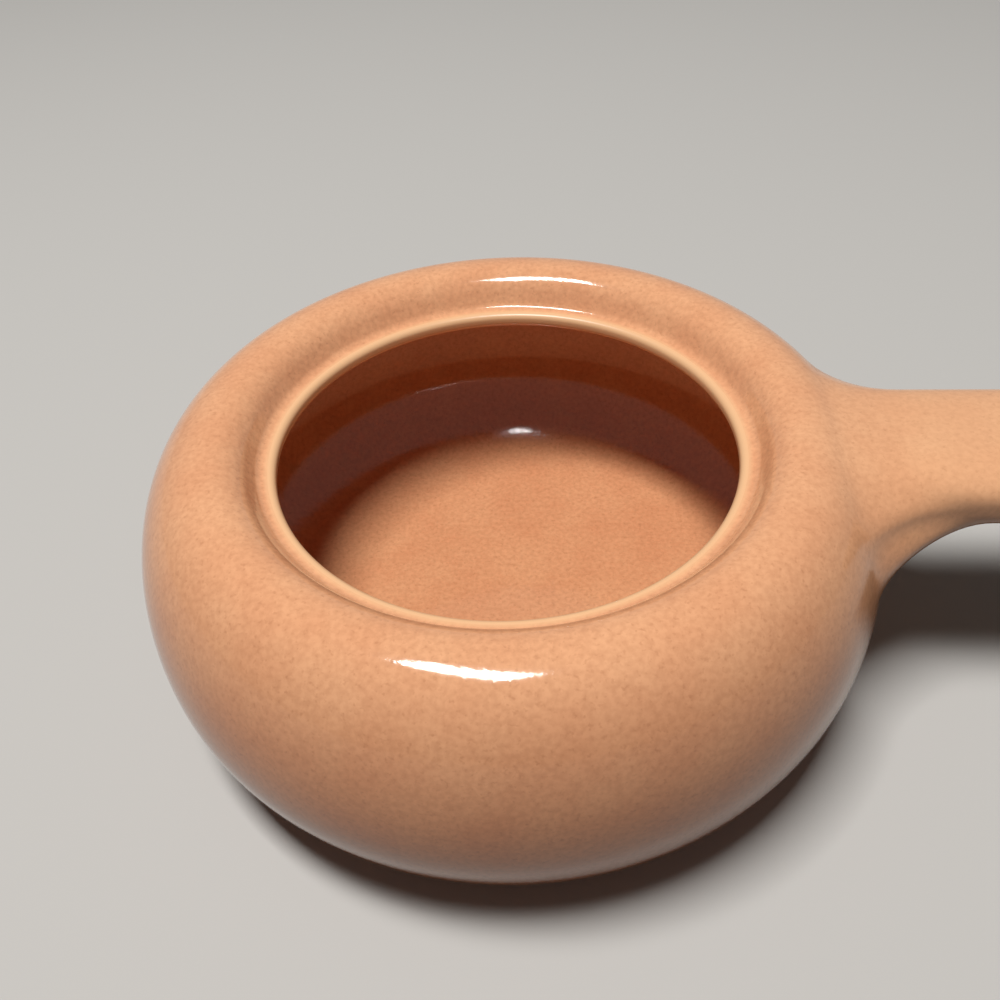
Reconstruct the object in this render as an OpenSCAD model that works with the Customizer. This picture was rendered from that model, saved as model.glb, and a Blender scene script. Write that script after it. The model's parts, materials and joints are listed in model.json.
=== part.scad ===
// Stick-handled bean pot: a squat round stoneware pot with a recessed rim for a lid,
// a flat stick handle just below the crown, and a bare clay foot ring.
// Millimetres, +Z up. The origin is on the pot's axis at the table, and the handle points to +X.

/* [Body] */
// Outer diameter at the belly
body_d = 210; // [196:1:230]
// Height of the crown above the table
body_h = 84; // [80:0.5:92]
// Height of the belly's widest point above the table
belly_z = 41; // [38:0.5:46]
// Squareness of the curve from the belly up to the crown, where 2 is an ellipse
crown_power = 2.05; // [2:0.05:2.4]
// Wall thickness
wall_t = 6.5; // [5:0.5:8]
// Thickness of the floor
floor_t = 5.5; // [4:0.5:8]
// How far the round of the bowl reaches in from the inside of the wall, before the flat floor cuts it off
bowl_reach = 48; // [42:1:54]
// Share by which that round would go deeper than the floor
bowl_sag = 0.14; // [0.12:0.01:0.16]

/* [Rim] */
// Depth of the lid seat below the top of the crown
seat_drop = 9.5; // [9:0.1:11]
// Radius of the crown's fall towards the lid recess
crown_fall_r = 10.5; // [8:0.5:11.5]
// Tilt of the recess's sloping wall, where 90 is upright
recess_tilt = 60; // [56:1:62]
// Radius of the cove between the recess's wall and the lid seat
cove_r = 3.1; // [2:0.1:3.6]
// Width of the flat lid seat
seat_w = 0.9; // [0.6:0.1:1.6]
// Diameter of the mouth
mouth_d = 127; // [123:0.5:130]
// Rounding of the mouth's upper edge
lip_r = 1.8; // [1.4:0.1:3]
// Length of the mouth's straight wall below that rounding
throat_h = 0.8; // [0.6:0.1:3]
// Bulge of the rim's rolled underside below the straight wall
roll_h = 3.5; // [2:0.5:5]

/* [Foot] */
// Outer diameter of the foot ring
foot_d = 156; // [150:1:164]
// Width of the foot ring
foot_w = 6; // [4:0.5:9]
// Height of the foot ring
foot_h = 2; // [1.5:0.25:4]
// Rounding of the foot ring's outer lower edge
foot_edge_r = 0.8; // [0.3:0.1:1.2]

/* [Handle] */
// Distance from the pot's axis to the handle's tip
handle_reach = 200; // [175:1:230]
// Width of the grip
handle_w = 46; // [34:1:50]
// Thickness of the grip
handle_t = 19; // [16:0.5:26]
// Drop of the grip's top below the top of the crown
handle_drop = 4.25; // [1:0.25:7]
// Radius of the sweep from the handle into the body, seen from above
side_sweep_r = 36; // [30:1:55]
// Radius of the sweep from the handle into the body, seen from the side
under_sweep_r = 26; // [18:1:32]
// Length over which the tip rounds off
tip_len = 22; // [14:1:30]
// Squareness of the grip's section, where 2 is an ellipse
section_power = 3; // [2:0.1:4]
// Squareness of the tip's outline, where 2 is an ellipse
tip_power = 2.4; // [2:0.1:4]

/* [Hidden] */

glaze_colour = "#DE9B73";
clay_colour = "#CDB79A";

body_r = body_d / 2;
mouth_r = mouth_d / 2;
foot_r = foot_d / 2;
seat_z = body_h - seat_drop;
throat_z = seat_z - lip_r - throat_h;
floor_z = foot_h + floor_t;

// The recess, from the lid seat's outer edge out: the cove, the sloping wall and the crown's fall
cove_x = mouth_r + lip_r + seat_w;
recess_r = cove_x + cove_r * sin(recess_tilt);
slope_h = seat_drop - (cove_r + crown_fall_r) * (1 - cos(recess_tilt));
crown_r = recess_r + slope_h / tan(recess_tilt) + crown_fall_r * sin(recess_tilt);
slope_z = body_h - crown_fall_r * (1 - cos(recess_tilt));

// The bowl's round is a quarter ellipse, left at this angle below level for a circle that ends on the floor
bowl_leave = 56;
inner_r = body_r - wall_t;
bowl_depth = (belly_z - floor_z) * (1 + bowl_sag);
corner_tilt = atan(bowl_depth * cos(bowl_leave) / (bowl_reach * sin(bowl_leave)));
corner_top = belly_z - bowl_depth * sin(bowl_leave);
corner_r = (corner_top - floor_z) / (1 - cos(corner_tilt));
floor_r = inner_r - bowl_reach * (1 - cos(bowl_leave)) - corner_r * sin(corner_tilt);

around = 144;
long_steps = 22;
short_steps = 6;

// Points on an elliptical arc in the plane of the profile
function arc(cx, cz, rx, rz, from, to, steps) =
    [for (i = [0:steps]) let (a = from + (to - from) * i / steps) [cx + rx * cos(a), cz + rz * sin(a)]];

// Points on a quarter of a squared-off ellipse, from its side up to its top
function shell(cx, cz, rx, rz) =
    [for (i = [0:long_steps]) let (a = 90 * i / long_steps)
        [cx + rx * pow(cos(a), 2 / crown_power), cz + rz * pow(sin(a), 2 / crown_power)]];

function reversed(list) = [for (i = [len(list) - 1:-1:0]) list[i]];

// The body's outside, from the foot's outer edge up over the crown to the recess's sloping wall
outside_profile = concat(
    arc(foot_r, belly_z, body_r - foot_r, belly_z - foot_h, -90, 0, long_steps),
    shell(crown_r, belly_z, body_r - crown_r, body_h - belly_z),
    arc(crown_r, body_h - crown_fall_r, crown_fall_r, crown_fall_r, 90, 90 + recess_tilt, short_steps)
);

// The rim's rolled underside runs from the mouth's wall out to the inside of the recess's wall
roll_x = (mouth_r + recess_r + wall_t) / 2;
roll_half = (recess_r + wall_t - mouth_r) / 2;

// The lid seat and the mouth, down to the rolled underside
rim_profile = concat(
    arc(cove_x, seat_z + cove_r, cove_r, cove_r, recess_tilt - 90, -90, short_steps),
    arc(mouth_r + lip_r, seat_z - lip_r, lip_r, lip_r, 90, 180, short_steps),
    arc(roll_x, throat_z, roll_half, roll_h, 180, 360, 2 * short_steps)
);

// The hollow under the crown, the inside of the wall and the floor
inside_profile = concat(
    arc(crown_r, throat_z, max(1, crown_r - recess_r - wall_t), body_h - wall_t - throat_z, 180, 90, short_steps),
    reversed(shell(crown_r, belly_z, inner_r - crown_r, body_h - wall_t - belly_z)),
    arc(inner_r - bowl_reach, belly_z, bowl_reach, bowl_depth, 0, -bowl_leave, long_steps),
    arc(floor_r, floor_z + corner_r, corner_r, corner_r, corner_tilt - 90, -90, short_steps),
    [[0, floor_z], [0, foot_h]]
);

module pot_body() {
    color(glaze_colour)
        rotate_extrude($fn = around)
            polygon(concat(outside_profile, rim_profile, inside_profile));
}

// The ring is straight inside, where it drops over a trivet's pad, and its outer lower edge is round
module foot_ring() {
    hollow_r = foot_r - foot_w;
    color(clay_colour)
        rotate_extrude($fn = around)
            polygon(concat(
                [[hollow_r, foot_h], [hollow_r, 0]],
                arc(foot_r - foot_edge_r, foot_edge_r, foot_edge_r, foot_edge_r, -90, 0, short_steps),
                [[foot_r, foot_h]]
            ));
}

// Everything inside the body's outside and below the crown, which the handle is cut back from
module body_envelope() {
    rotate_extrude($fn = around)
        polygon(concat([[0, foot_h]], outside_profile, [[0, slope_z]]));
}

grip_top = body_h - handle_drop;
grip_mid = grip_top - handle_t / 2;
grip_half = handle_w / 2;

// The root starts half a wall's thickness inside the crown ring and sweeps out to the plain grip
root_x = crown_r - wall_t / 2;
root_end = body_r + side_sweep_r;
tip_start = handle_reach - tip_len;
// Share of the tip's length at which its end is cut off, as a flat too small to see
tip_end_share = 0.985;
// Share of the full section that the first one has, so that it lies inside the body
root_share = 0.8;
// Share of the body's circle that the root's sides keep to, until the sweep leaves it
root_inset = 0.97;
// Share of the sweep's full depth that the underside has
under_share = 0.8;

section_points = 32;
root_steps = 14;
grip_steps = 3;
tip_steps = 8;

// Outer radius of the body at height z
function body_r_at(z) = z > belly_z
    ? crown_r + (body_r - crown_r)
        * pow(max(0, 1 - pow((z - belly_z) / (body_h - belly_z), crown_power)), 1 / crown_power)
    : foot_r + (body_r - foot_r) * sqrt(max(0, 1 - pow((belly_z - z) / (belly_z - foot_h), 2)));

// Half-width of a bar of half-width h that sweeps, with radius s, into a circle of radius r. Short of
// the point where the sweep touches the circle it stays a little inside the circle.
function swept(x, r, h, s) =
    let (end = sqrt(pow(r + s, 2) - pow(h + s, 2)), touch = end * r / (r + s))
    x >= end ? h
    : x >= touch ? h + s - sqrt(s * s - pow(end - x, 2))
    : root_inset * sqrt(max(0, r * r - x * x));

// Depth of the handle's underside below its middle, which sweeps down into the belly
function depth_at(x) =
    let (end = body_r_at(grip_mid - handle_t / 2) + under_sweep_r, run = min(under_sweep_r, max(0, end - x)))
    handle_t / 2 + under_share * (under_sweep_r - sqrt(pow(under_sweep_r, 2) - run * run));

// Share of the full section that is left where the tip rounds off
function tip_share(x) =
    let (t = max(0, (x - tip_start) / tip_len)) pow(max(0, 1 - pow(t, tip_power)), 1 / tip_power);

// Signed power, which squares off an ellipse
function squared(v) = sign(v) * pow(abs(v), 2 / section_power);

stations = concat(
    [for (i = [0:root_steps - 1]) root_x + (root_end - root_x) * i / root_steps],
    [for (i = [0:grip_steps - 1]) root_end + (tip_start - root_end) * i / grip_steps],
    [for (i = [0:tip_steps]) tip_start + tip_len * tip_end_share * sin(90 * i / tip_steps)]
);

// One closed section of the handle. The first one, at the root, is drawn in to lie inside the body.
function section(i) =
    let (x = stations[i], share = tip_share(x) * (i == 0 ? root_share : 1))
    [for (k = [0:section_points - 1])
        let (
            a = 360 * k / section_points,
            rise = squared(sin(a)) * (sin(a) > 0 ? handle_t / 2 : depth_at(x)) * share,
            z = grip_mid + rise,
            half = swept(x, body_r_at(z), grip_half, side_sweep_r)
        )
        [x, squared(cos(a)) * half * share, z]];

module handle_blank() {
    last = len(stations) - 1;
    n = section_points;
    points = [for (i = [0:last]) each section(i)];
    sides = [for (i = [0:last - 1], k = [0:n - 1])
        let (a = i * n + k, b = i * n + (k + 1) % n)
        each [[a, b, b + n], [a, b + n, a + n]]];
    root_cap = [for (k = [1:n - 2]) [0, k + 1, k]];
    tip_cap = [for (k = [1:n - 2]) [last * n, last * n + k, last * n + k + 1]];
    polyhedron(points = points, faces = concat(sides, root_cap, tip_cap));
}

module handle() {
    color(glaze_colour)
        difference() {
            handle_blank();
            body_envelope();
        }
}

pot_body();
foot_ring();
handle();
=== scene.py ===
import json
import math

import bpy
import numpy as np
from mathutils import Matrix, Vector


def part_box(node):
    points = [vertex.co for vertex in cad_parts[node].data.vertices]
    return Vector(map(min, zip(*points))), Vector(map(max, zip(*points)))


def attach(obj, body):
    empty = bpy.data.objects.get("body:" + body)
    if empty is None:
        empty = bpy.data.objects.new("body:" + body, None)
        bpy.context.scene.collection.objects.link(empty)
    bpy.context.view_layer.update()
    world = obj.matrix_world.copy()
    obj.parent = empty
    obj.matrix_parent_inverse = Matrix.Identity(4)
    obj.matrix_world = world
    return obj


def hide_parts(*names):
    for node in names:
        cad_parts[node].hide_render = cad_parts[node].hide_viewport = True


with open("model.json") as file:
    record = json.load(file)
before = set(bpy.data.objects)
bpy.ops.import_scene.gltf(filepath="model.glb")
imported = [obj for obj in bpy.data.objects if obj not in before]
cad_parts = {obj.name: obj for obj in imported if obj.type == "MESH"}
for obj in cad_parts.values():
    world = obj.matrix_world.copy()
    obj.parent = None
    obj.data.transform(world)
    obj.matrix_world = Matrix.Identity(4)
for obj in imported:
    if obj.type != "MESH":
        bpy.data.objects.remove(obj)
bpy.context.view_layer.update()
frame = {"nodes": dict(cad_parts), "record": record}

record = frame["record"]
mm = 0.001

print("stage 1: camera")

# The photograph's view: where the camera stands, how far it turns, dips and rolls, and its lens
view = dict(
    placeMm=(15.8, -208.44, 247.52),
    turnDeg=5.05,
    dipDeg=43.06,
    rollDeg=-3.14,
    focalPixels=979,
    imagePixels=1000,
    sensorMm=36,
)


def addCamera():
    # right and up are the picture's own directions, turned about the line of sight by the roll
    turn, dip, roll = (math.radians(view[key]) for key in ("turnDeg", "dipDeg", "rollDeg"))
    forward = Vector((-math.sin(turn) * math.cos(dip), math.cos(turn) * math.cos(dip), -math.sin(dip)))
    level = Vector((math.cos(turn), math.sin(turn), 0))
    upright = level.cross(forward)
    right = level * math.cos(roll) + upright * math.sin(roll)
    up = upright * math.cos(roll) - level * math.sin(roll)
    data = bpy.data.cameras.new("photoCamera")
    data.sensor_width = view["sensorMm"]
    data.lens = view["focalPixels"] / view["imagePixels"] * view["sensorMm"]
    data.clip_start = 0.01
    camera = bpy.data.objects.new("photoCamera", data)
    place = Matrix((right, up, -forward)).transposed().to_4x4()
    place.translation = Vector(view["placeMm"]) * mm
    camera.matrix_world = place
    bpy.context.collection.objects.link(camera)
    bpy.context.scene.camera = camera


addCamera()

print("stage 2: glazed pot")

# The glazed clay, in mm. What the frame holds is read from it; the rest follows the photograph.
pot = dict(
    bellyZ=41,  # height of the widest point
    power=2.05,  # squareness of the curve from there to the crown
    crownFallR=10.5,  # radius of the crown's fall towards the lid's recess
    recessTiltDeg=60,  # the recess's sloping wall, where 90 is upright
    coveR=3.1,
    seatW=0.9,
    lipR=1.8,
    throatH=0.8,  # the mouth's straight wall below the lip's rounding
    rollH=3.5,  # bulge of the rim's underside
    wallT=6.5,
    floorT=5.5,
    bowlReach=48,  # how far the bowl's round reaches in from the wall
    bowlSag=0.14,  # share by which it would go deeper than the floor
    bowlLeave=56,  # degrees below level at which the floor's corner takes over
    around=288,  # steps round the pot
)

# The stick handle, in mm, and the ball that would roll in its joint with the body
stick = dict(
    halfW=23,
    halfT=9.5,
    power=3,  # squareness of the section
    tipPower=2.4,  # and of the tip
    tipLen=22,
    sideBallR=26,
    underBallR=17,
    underFrom=51,  # the ball grows from its size underneath at this height
    underTo=66,  # to its size at the sides at this one
    sinkFrom=86,  # inside this distance from the axis the stick's root sinks
    sinkRate=0.025,
    patchDeg=35,  # half the arc of the body that the root takes in
    patchLowZ=24,
    rootRings=34,
    gripRings=16,
    tipRings=16,
)


# Coral glaze, fired glossy over stoneware: clear glass over mottled colour, thin on the mouth's lip,
# with painted shade inside the bowl and towards the foot, and painted light on the handle
glaze = dict(
    base="#E5A478",
    pale="#EBAD80",
    fleck="#B3744E",
    thin="#E9B98B",  # where the clay shows through on the lip; the handle's painted light takes the same colour
    bowlShadeTint="#E2D8CF",  # painted shade inside the bowl: what the shaded walls and floor keep of the colour
    footShadeTint="#FFD4B6",  # painted shade: what is left of the colour towards the foot, darker and redder there
    footShadeFromZ=80,
    footShadeFullZ=17,
    thinFadeMm=1.7,
    handleLightShare=0.3,  # painted light: how much of that paler colour the handle gets
    handleLightFrom=72,  # from here out along the handle's direction
    handleLightFull=115,
    bowlShadeFadeMm=5,
    bowlShadeFootMm=10,  # height over which the wall's painted shade turns into the floor's
    floorShadeShare=0.5,
    cloudMm=16,
    grainMm=1.5,
    fleckMm=1.1,
    peelMm=1.7,
    peelHighMm=0.03,
    roughness=0.09,
    thinRoughness=0.32,
    ior=1.46,
)


def mountOf(name):
    return next(mount for mount in record["mounts"] if mount["name"] == name)


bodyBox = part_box("pot_body")
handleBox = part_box("handle")
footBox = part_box("foot_ring")
pot.update(
    bodyR=-bodyBox[0][0] / mm,
    topZ=bodyBox[1][2] / mm,
    footR=footBox[1][0] / mm,
    footH=footBox[1][2] / mm,
    mouthR=mountOf("mouth")["dims"]["r_mm"],
    seatZ=mountOf("lid_seat")["pos_m"][2] / mm,
)
stick.update(
    reach=handleBox[1][0] / mm,
    midZ=handleBox[1][2] / mm - stick["halfT"],
)


def arc(centreR, centreZ, radiusR, radiusZ, start, end, count):
    # centre + radii * (cos, sin) of an angle that runs evenly from start to end degrees
    angle = np.radians(np.linspace(start, end, count))
    return np.column_stack([centreR + radiusR * np.cos(angle), centreZ + radiusZ * np.sin(angle)])


def line(start, end, count):
    # start + share * (end - start), without the two ends
    share = np.linspace(0, 1, count + 2)[1:-1, None]
    return np.array(start) + share * (np.array(end) - np.array(start))


def shell(centreR, centreZ, radiusR, radiusZ, count):
    # a quarter from the side to the top of |r|^n + |z|^n = 1: r = cos^(2/n), z = sin^(2/n)
    angle = np.radians(np.linspace(0, 90, count))
    n = pot["power"]
    return np.column_stack([centreR + radiusR * np.cos(angle).clip(0) ** (2 / n),
                            centreZ + radiusZ * np.sin(angle) ** (2 / n)])


def recessSizes():
    # From the lid's seat out: the cove spans coveR * sin(tilt), the sloping wall what the drop leaves,
    # and the crown's fall crownFallR * sin(tilt). An arc drops by radius * (1 - cos(tilt)).
    p = pot
    tilt = math.radians(p["recessTiltDeg"])
    p["coveX"] = p["mouthR"] + p["lipR"] + p["seatW"]
    p["recessR"] = p["coveX"] + p["coveR"] * math.sin(tilt)
    slopeH = p["topZ"] - p["seatZ"] - (p["coveR"] + p["crownFallR"]) * (1 - math.cos(tilt))
    p["crownR"] = p["recessR"] + slopeH / math.tan(tilt) + p["crownFallR"] * math.sin(tilt)


recessSizes()


def outsideProfile():
    # a quarter ellipse from the foot to the belly, the squarer quarter on to the crown, and the crown's fall
    p = pot
    lower = arc(p["footR"], p["bellyZ"], p["bodyR"] - p["footR"], p["bellyZ"] - p["footH"], -90, 0, 30)
    upper = shell(p["crownR"], p["bellyZ"], p["bodyR"] - p["crownR"], p["topZ"] - p["bellyZ"], 34)
    fallZ = p["topZ"] - p["crownFallR"]
    fall = arc(p["crownR"], fallZ, p["crownFallR"], p["crownFallR"], 90, 90 + p["recessTiltDeg"], 18)
    return np.vstack([lower, upper[1:], fall[1:]])


def insideProfile():
    # cove, seat, lip, rolled underside, hollow crown, inner wall, floor's corner and floor. Each is an arc of
    # a circle or an ellipse; the corner's circle has the tilt that the bowl's ellipse has where it leaves it.
    p = pot
    throatZ = p["seatZ"] - p["lipR"] - p["throatH"]
    rollX = (p["mouthR"] + p["recessR"] + p["wallT"]) / 2
    rollHalf = (p["recessR"] + p["wallT"] - p["mouthR"]) / 2
    floorZ = p["footH"] + p["floorT"]
    innerR = p["bodyR"] - p["wallT"]
    innerTop = p["topZ"] - p["wallT"]
    hollowR = p["crownR"] - p["recessR"] - p["wallT"]
    leave = math.radians(p["bowlLeave"])
    depth = (p["bellyZ"] - floorZ) * (1 + p["bowlSag"])
    tilt = math.atan2(depth * math.cos(leave), p["bowlReach"] * math.sin(leave))
    cornerR = (p["bellyZ"] - depth * math.sin(leave) - floorZ) / (1 - math.cos(tilt))
    floorR = innerR - p["bowlReach"] * (1 - math.cos(leave)) - cornerR * math.sin(tilt)
    parts = [
        arc(p["coveX"], p["seatZ"] + p["coveR"], p["coveR"], p["coveR"], p["recessTiltDeg"] - 90, -90, 9),
        arc(p["mouthR"] + p["lipR"], p["seatZ"] - p["lipR"], p["lipR"], p["lipR"], 90, 180, 12),
        arc(rollX, throatZ, rollHalf, p["rollH"], 180, 360, 20),
        arc(p["crownR"], throatZ, hollowR, innerTop - throatZ, 180, 90, 8),
        shell(p["crownR"], p["bellyZ"], innerR - p["crownR"], innerTop - p["bellyZ"], 28)[-2::-1],
        arc(innerR - p["bowlReach"], p["bellyZ"], p["bowlReach"], depth, 0, -p["bowlLeave"], 22)[1:],
        arc(floorR, floorZ + cornerR, cornerR, cornerR, math.degrees(tilt) - 90, -90, 9)[1:],
        line((floorR, floorZ), (0, floorZ), 30),
    ]
    return np.vstack(parts)


def undersideProfile():
    return line((0, pot["footH"]), (pot["footR"], pot["footH"]), 30)


def bodyGap(p):
    # gauge (q - 1) / |slope of q| of the outside's quarters; inside the crown ring a circle's own distance
    r, z = np.hypot(p[:, 0], p[:, 1]), p[:, 2]
    high = z >= pot["bellyZ"]
    centreR = np.where(high, pot["crownR"], pot["footR"])
    halfR = pot["bodyR"] - centreR
    halfZ = np.where(high, pot["topZ"] - pot["bellyZ"], pot["bellyZ"] - pot["footH"])
    n = np.where(high, pot["power"], 2)
    acrossR, acrossZ = np.maximum(r - centreR, 0) / halfR + 1e-6, np.abs(z - pot["bellyZ"]) / halfZ + 1e-6
    gauge = (acrossR ** n + acrossZ ** n) ** (1 / n)
    steepness = np.hypot(acrossR ** (n - 1) / halfR, acrossZ ** (n - 1) / halfZ) * gauge ** (1 - n)
    fallZ = pot["topZ"] - pot["crownFallR"]
    fall = np.hypot(r - pot["crownR"], z - fallZ) - pot["crownFallR"]
    return np.where(high & (r < pot["crownR"]) & (z > fallZ), fall, (gauge - 1) / steepness)


def stickGauge(p):
    # |y / half width|^n + |z / half thickness|^n + |how far into the tip|^n, to the power 1 / n
    x, y, z = p.T
    midZ = stick["midZ"] - stick["sinkRate"] * np.maximum(stick["sinkFrom"] - x, 0) ** 2
    tip = np.maximum(x - stick["reach"] + stick["tipLen"], 0) / stick["tipLen"]
    n = stick["power"]
    return (np.abs(y / stick["halfW"]) ** n + np.abs((z - midZ) / stick["halfT"]) ** n + tip ** n) ** (1 / n) + 1e-9


def slope(field, p):
    # central differences of a field along x, y and z
    step = 0.02
    shifts = np.eye(3) * step
    return np.column_stack([(field(p + s) - field(p - s)) / (2 * step) for s in shifts])


def stickGap(p):
    return (stickGauge(p) - 1) / np.maximum(np.linalg.norm(slope(stickGauge, p), axis=1), 1e-6)


def unit(v):
    return v / np.maximum(np.linalg.norm(v, axis=1, keepdims=True), 1e-9)


def potGap(p):
    # the nearer of body and stick, or, where a ball touching both covers the corner, the ball's own distance:
    # its centre lies a * bodyNormal + b * stickNormal away, with both parts solved from the two gaps
    toBody, toStick = bodyGap(p), stickGap(p)
    share = np.clip((p[:, 2] - stick["underFrom"]) / (stick["underTo"] - stick["underFrom"]), 0, 1)
    ball = stick["underBallR"] + (stick["sideBallR"] - stick["underBallR"]) * share * share * (3 - 2 * share)
    lean = np.clip(np.sum(unit(slope(bodyGap, p)) * unit(slope(stickGauge, p)), axis=1), -0.98, 0.98)
    u, v = ball - toBody, ball - toStick
    a, b = (u - lean * v) / (1 - lean ** 2), (v - lean * u) / (1 - lean ** 2)
    away = np.sqrt(np.maximum(a * a + b * b + 2 * lean * a * b, 0))
    return np.where((a > 0) & (b > 0), ball - away, np.minimum(toBody, toStick))


def settle(p, rounds):
    # Newton's steps: p - gap * slope / |slope|^2
    for _ in range(rounds):
        steep = slope(potGap, p)
        p = p - (potGap(p) / np.maximum(np.sum(steep ** 2, axis=1), 0.05))[:, None] * steep
    return p


def handleRings(edge):
    # Closed rings from the loop of body points `edge` out along the stick. A ring's points slide along
    # a bent line (1-t)^2 edge + 2t(1-t) root + t^2 grip, then settle on the joined surface.
    rootX, gripX = pot["bodyR"] + 2, pot["bodyR"] + stick["sideBallR"] + 10
    tipX = stick["reach"] - stick["tipLen"]
    midZ, n, tipN = stick["midZ"], stick["power"], stick["tipPower"]
    around = np.arctan2(edge[:, 1], edge[:, 0])
    patch = math.radians(stick["patchDeg"])
    acrossShare = around / patch
    lowZ, highZ = edge[:, 2].min(), edge[:, 2].max()
    radial = np.hypot(edge[:, 0], edge[:, 1])
    over = np.maximum(pot["crownR"] + 12 - radial, 0) / 12  # rows that lie on the crown count as high
    upShare = np.clip((edge[:, 2] - midZ) / (highZ - midZ) * 0.7 + over * 0.3, 0, 1)
    downShare = np.clip((midZ - edge[:, 2]) / (midZ - lowZ), 0, 1)
    angle = np.arctan2(np.where(edge[:, 2] > midZ, upShare, -downShare), acrossShare)
    y = np.sign(np.cos(angle)) * np.abs(np.cos(angle)) ** (2 / n) * stick["halfW"]
    z = np.sign(np.sin(angle)) * np.abs(np.sin(angle)) ** (2 / n) * stick["halfT"]

    def section(x, share=1.0):
        return np.column_stack([np.full(len(y), x), y * share, midZ + z * share])

    root = section(rootX, 1.25)
    grip = section(gripX)
    rings = []
    for t in np.linspace(0, 1, stick["rootRings"] + 1)[1:]:
        rings.append((1 - t) ** 2 * edge + 2 * t * (1 - t) * root + t * t * grip)
    rings = np.array(rings)
    count = len(edge)
    for _ in range(12):
        whole = np.concatenate([edge[None], rings, section(gripX + 3)[None]])
        along = (whole[:-2] + whole[2:]) / 2
        beside = (np.roll(rings, 1, axis=1) + np.roll(rings, -1, axis=1)) / 2
        rings = settle((along + beside).reshape(-1, 3) / 2, 2).reshape(-1, count, 3)
    rings = settle(rings.reshape(-1, 3), 4).reshape(-1, count, 3)
    for x in np.linspace(gripX, tipX, stick["gripRings"] + 1)[1:]:
        rings = np.concatenate([rings, section(x)[None]])
    for t in np.sin(np.linspace(0, math.pi / 2, stick["tipRings"] + 1)[1:-1]):
        rings = np.concatenate([rings, section(tipX + stick["tipLen"] * t, (1 - t ** tipN) ** (1 / tipN))[None]])
    return rings


def glazeShares(rows, first):
    # thin: 1 on the lip's circle and the mouth's wall, less by distance / thinFadeMm away from them
    # painted shade inside the bowl: 1 on the inside wall, less by distance over its fade above it, and the floor's
    # share on the floor painted shade outside, darker towards the foot: from 0 at its starting height to 1 at its
    # full height
    p, r, z = pot, rows[:, 0], rows[:, 1]
    inside = np.arange(len(rows)) >= first
    lipZ = p["seatZ"] - p["lipR"]
    fromLip = np.abs(np.hypot(r - p["mouthR"] - p["lipR"], z - lipZ) - p["lipR"])
    fromWall = np.hypot(r - p["mouthR"], np.maximum(lipZ - p["throatH"] - z, 0))
    away = np.where(z > lipZ, np.where(r > p["mouthR"] + p["lipR"], r - p["mouthR"] - p["lipR"], fromLip), fromWall)
    thin = np.where(inside, np.clip(1 - away / glaze["thinFadeMm"], 0, 1), 0)
    floorZ = p["footH"] + p["floorT"]
    below = (lipZ - p["throatH"] - p["rollH"] - z) / glaze["bowlShadeFadeMm"]
    height = (z - floorZ) / glaze["bowlShadeFootMm"]
    wall = np.clip(height, 0, 1) * (1 - glaze["floorShadeShare"]) + glaze["floorShadeShare"]
    bowlShade = np.where(inside, np.clip(below, 0, 1) * wall, 0)
    low = (glaze["footShadeFromZ"] - z) / (glaze["footShadeFromZ"] - glaze["footShadeFullZ"])
    footShade = np.where(inside, 0, np.clip(low, 0, 1))
    return dict(thinGlazeAndHandleLight=thin, paintedBowlShade=bowlShade, paintedFootShade=footShade)


def addMesh(name, points, faces):
    mesh = bpy.data.meshes.new(name)
    mesh.from_pydata((points * mm).tolist(), [], faces)
    mesh.validate()
    mesh.shade_smooth()
    piece = bpy.data.objects.new(name, mesh)
    bpy.context.collection.objects.link(piece)
    return piece


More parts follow.
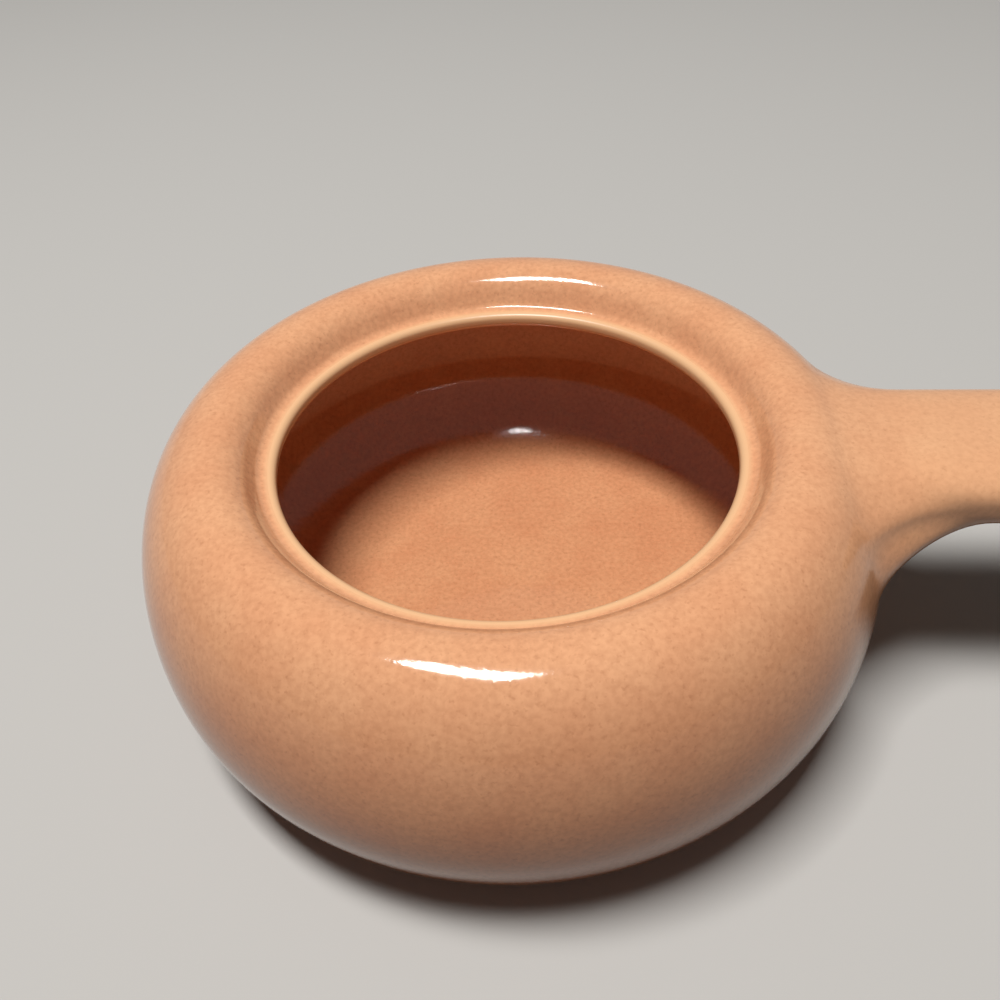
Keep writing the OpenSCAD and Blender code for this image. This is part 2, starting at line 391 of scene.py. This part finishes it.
def potPiece():
    # Profile (r, z) turned about the axis: (r cos a, r sin a, z). A rectangle of that grid round the
    # handle's root is left out, and the handle's rings grow from its edge.
    outside = outsideProfile()
    profile = np.vstack([outside, insideProfile()])
    under = undersideProfile()
    rows = np.vstack([under, profile])
    first = len(under)
    around = pot["around"]
    turn = np.arange(around) * 2 * math.pi / around
    grid = np.stack([
        rows[:, :1] * np.cos(turn),
        rows[:, :1] * np.sin(turn),
        np.repeat(rows[:, 1:], around, axis=1),
    ], axis=2)
    number = np.arange(len(rows) * around).reshape(len(rows), around)
    span = round(stick["patchDeg"] / 360 * around)
    low = first + int(np.argmax(outside[:, 1] > stick["patchLowZ"]))
    high = first + int(np.argmax(outside[:, 1])) + 3
    columns = np.arange(-span, span + 1) % around
    edge = np.concatenate([
        number[low, columns[:-1]],
        number[low:high, columns[-1]],
        number[high, columns[:0:-1]],
        number[high:low:-1, columns[0]],
    ])
    points = grid.reshape(-1, 3)
    rings = handleRings(points[edge])
    ringNumber = np.arange(rings.shape[0] * rings.shape[1]).reshape(rings.shape[:2]) + len(points)
    loops = np.concatenate([edge[None], ringNumber])
    everything = np.concatenate([points, rings.reshape(-1, 3), [[stick["reach"], 0, stick["midZ"]]],
                                 [[0, 0, pot["footH"]]], [[0, 0, pot["footH"] + pot["floorT"]]]])
    tip, underPole, floorPole = len(everything) - 3, len(everything) - 2, len(everything) - 1

    keep = np.ones((len(rows) - 1, around), bool)
    keep[low:high, np.arange(-span, span) % around] = False
    a, b = number[:-1], np.roll(number[:-1], -1, axis=1)
    c, d = np.roll(number[1:], -1, axis=1), number[1:]
    quads = np.stack([a, b, c, d], axis=2)[keep]
    inner, outer = loops[:-1], loops[1:]
    stickQuads = np.stack([inner, np.roll(inner, -1, axis=1), np.roll(outer, -1, axis=1), outer], axis=2)
    faces = quads.tolist() + stickQuads.reshape(-1, 4).tolist()
    ring = ringNumber[-1]
    faces += [[int(m), int(k), tip] for m, k in zip(ring, np.roll(ring, -1))]
    ring = number[0]
    faces += [[int(k), int(m), underPole] for m, k in zip(ring, np.roll(ring, -1))]
    ring = number[-1]
    faces += [[int(m), int(k), floorPole] for m, k in zip(ring, np.roll(ring, -1))]
    piece = addMesh("glazed_pot", everything, faces)
    # the rings, the stick's tip and the underside's middle lie outside the bowl, the floor's middle in it
    body, stickPart = glazeShares(rows, first + len(outside)), glazeShares(everything[len(points):, ::2], 10 ** 9)
    # painted light: the handle drawn paler, growing out along its length to its full share
    out = (everything[:, 0] - glaze["handleLightFrom"]) / (glaze["handleLightFull"] - glaze["handleLightFrom"])
    for name in body:
        values = np.concatenate([np.repeat(body[name], around), stickPart[name]])
        values[floorPole] = body[name][-1]
        if name == "thinGlazeAndHandleLight":
            values = np.maximum(values, out.clip(0, 1) * glaze["handleLightShare"])
        piece.data.attributes.new(name, "FLOAT", "POINT").data.foreach_set("value", values.astype(np.float32))
    return piece


glazedPot = potPiece()
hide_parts("pot_body", "handle")
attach(glazedPot, "root")

print("stage 3: materials")


def linear(hexColour):
    # sRGB hex to linear: c / 12.92 below 0.04045, ((c + 0.055) / 1.055) ^ 2.4 above
    parts = [int(hexColour[i:i + 2], 16) / 255 for i in (1, 3, 5)]
    return [c / 12.92 if c <= 0.04045 else ((c + 0.055) / 1.055) ** 2.4 for c in parts] + [1]


def addNode(tree, kind, settings=None, links=None):
    # a node of this kind, with its properties and sockets set and its inputs linked
    node = tree.nodes.new("ShaderNode" + kind)
    for key, value in (settings or {}).items():
        if hasattr(node, key):
            setattr(node, key, value)
        else:
            node.inputs[key].default_value = value
    for key, source in (links or {}).items():
        tree.links.new(source, node.inputs[key])
    return node


def newMaterial(name):
    material = bpy.data.materials.new(name)
    material.use_nodes = True
    material.node_tree.nodes.clear()
    return material, material.node_tree


def finishMaterial(tree, shader):
    addNode(tree, "OutputMaterial", {}, {"Surface": shader.outputs[0]})


def perMetre(sizeMm):
    return 1000 / sizeMm


def mixNode(tree, first, second, share, blend="MIX"):
    # first to second by the share; a colour is given as hex or as another node's output
    node = addNode(tree, "Mix", {"data_type": "RGBA", "blend_type": blend}, {"Factor": share})
    for socket, colour in ((6, first), (7, second)):
        if isinstance(colour, str):
            node.inputs[socket].default_value = linear(colour)
        else:
            tree.links.new(colour, node.inputs[socket])
    return node.outputs[2]


def noiseShare(tree, place, sizeMm, low, high, top=1.0):
    # (noise - low) / (high - low), held between 0 and 1, times top
    noise = addNode(tree, "TexNoise", {"Scale": perMetre(sizeMm), "Detail": 2.0}, {"Vector": place})
    return addNode(tree, "MapRange", {"From Min": low, "From Max": high, "To Max": top},
                   {"Value": noise.outputs["Fac"]}).outputs[0]


def glazedStoneware():
    material, tree = newMaterial("glazedStoneware")
    place = addNode(tree, "TexCoord").outputs["Object"]
    thin, bowlShade, footShade = (addNode(tree, "Attribute", {"attribute_name": name}).outputs["Fac"]
                             for name in ("thinGlazeAndHandleLight", "paintedBowlShade", "paintedFootShade"))
    cloud = noiseShare(tree, place, glaze["cloudMm"], 0.35, 0.65)
    grain = noiseShare(tree, place, glaze["grainMm"], 0.35, 0.7, 0.3)
    fleck = noiseShare(tree, place, glaze["fleckMm"], 0.58, 0.74, 0.34)
    colour = mixNode(tree, glaze["base"], glaze["pale"], cloud)
    colour = mixNode(tree, colour, glaze["fleck"], grain)
    colour = mixNode(tree, colour, glaze["fleck"], fleck)
    # painted shade: the bowl's inside walls and floor darkened
    colour = mixNode(tree, colour, glaze["bowlShadeTint"], bowlShade, "MULTIPLY")
    # painted shade: darker and redder towards the foot
    colour = mixNode(tree, colour, glaze["footShadeTint"], footShade, "MULTIPLY")
    # thin glaze on the lip, and painted light on the handle
    colour = mixNode(tree, colour, glaze["thin"], thin)
    rough = addNode(tree, "MapRange", {"To Min": glaze["roughness"], "To Max": glaze["thinRoughness"]},
                    {"Value": thin})
    peel = addNode(tree, "TexNoise", {"Scale": perMetre(glaze["peelMm"]), "Detail": 2.0}, {"Vector": place})
    bump = addNode(tree, "Bump", {"Distance": glaze["peelHighMm"] * mm}, {"Height": peel.outputs["Fac"]})
    shader = addNode(tree, "BsdfPrincipled", {"IOR": glaze["ior"]},
                     {"Base Color": colour, "Roughness": rough.outputs[0], "Normal": bump.outputs[0]})
    finishMaterial(tree, shader)
    return material


# Bare stoneware, fired without glaze: matt, sandy, buff
clay = dict(
    base="#CDB79A",
    grit="#A88E70",
    gritMm=1,
    gritHighMm=0.08,
    roughness=0.85,
    ior=1.5,
)


def bareStoneware():
    material, tree = newMaterial("bareStoneware")
    place = addNode(tree, "TexCoord").outputs["Object"]
    grit = addNode(tree, "TexNoise", {"Scale": perMetre(clay["gritMm"]), "Detail": 3.0}, {"Vector": place})
    share = addNode(tree, "MapRange", {"From Min": 0.5, "From Max": 0.7}, {"Value": grit.outputs["Fac"]})
    colour = mixNode(tree, clay["base"], clay["grit"], share.outputs[0])
    bump = addNode(tree, "Bump", {"Distance": clay["gritHighMm"] * mm}, {"Height": grit.outputs["Fac"]})
    shader = addNode(tree, "BsdfPrincipled", {"Roughness": clay["roughness"], "IOR": clay["ior"]},
                     {"Base Color": colour, "Normal": bump.outputs[0]})
    finishMaterial(tree, shader)
    return material


glazedPot.data.materials.append(glazedStoneware())
footRing = frame["nodes"]["foot_ring"]
bareClay = bareStoneware()
for slot in footRing.material_slots:
    slot.material = bareClay

print("stage 4: floor and lamps")

studio = dict(
    floorColour="#C1BEB9",  # what the camera and reflections see
    floorBounce="#626262",  # what lights the pot from below
    floorR=1700,
    floorSides=128,
    worldColour="#A19E9A",
    worldLight="#434343",
)

# Place and size in mm; turnDeg is the long side's, seen from above, from the handle's direction
keyLamp = dict(
    place=(-250, -245, 2100),
    size=(812, 359),
    turnDeg=-40,
    watts=47,
)


def seenShare(tree):
    # 1 for what the camera and mirror images see, 0 for what lights the pot
    path = addNode(tree, "LightPath")
    share = path.outputs["Is Camera Ray"]
    for kind in ("Is Glossy Ray", "Is Transmission Ray"):
        share = addNode(tree, "Math", {"operation": "MAXIMUM"}, {0: share, 1: path.outputs[kind]}).outputs[0]
    return share


def addFloor():
    material, tree = newMaterial("studioFloor")
    colour = mixNode(tree, studio["floorBounce"], studio["floorColour"], seenShare(tree))
    shader = addNode(tree, "BsdfPrincipled", {"Roughness": 0.9}, {"Base Color": colour})
    finishMaterial(tree, shader)
    turn = np.linspace(0, 2 * math.pi, studio["floorSides"], endpoint=False)
    edge = np.column_stack([np.cos(turn), np.sin(turn), np.zeros(len(turn))]) * studio["floorR"]
    floor = addMesh("studio_floor", edge, [list(range(len(turn)))])
    floor.data.materials.append(material)


def addLamp(name, place, size, turnDeg, watts):
    # a lamp shines along its own -z, here towards the origin
    data = bpy.data.lights.new(name, "AREA")
    data.shape = "RECTANGLE"
    data.size, data.size_y = (side * mm for side in size)
    data.energy = watts
    lamp = bpy.data.objects.new(name, data)
    away = Vector(place).normalized()
    turn = math.radians(turnDeg)
    across = away.cross(Vector((math.cos(turn), math.sin(turn), 0))).normalized()
    matrix = Matrix((across.cross(away), across, away)).transposed().to_4x4()
    matrix.translation = Vector(place) * mm
    lamp.matrix_world = matrix
    bpy.context.collection.objects.link(lamp)


def addWorld():
    world = bpy.data.worlds.new("studioWorld")
    world.use_nodes = True
    tree = world.node_tree
    sky = tree.nodes["Background"]
    colour = mixNode(tree, studio["worldLight"], studio["worldColour"], seenShare(tree))
    tree.links.new(colour, sky.inputs["Color"])
    bpy.context.scene.world = world


addFloor()
addLamp("keyLamp", **keyLamp)
addWorld()
bpy.context.scene.view_settings.view_transform = "Standard"
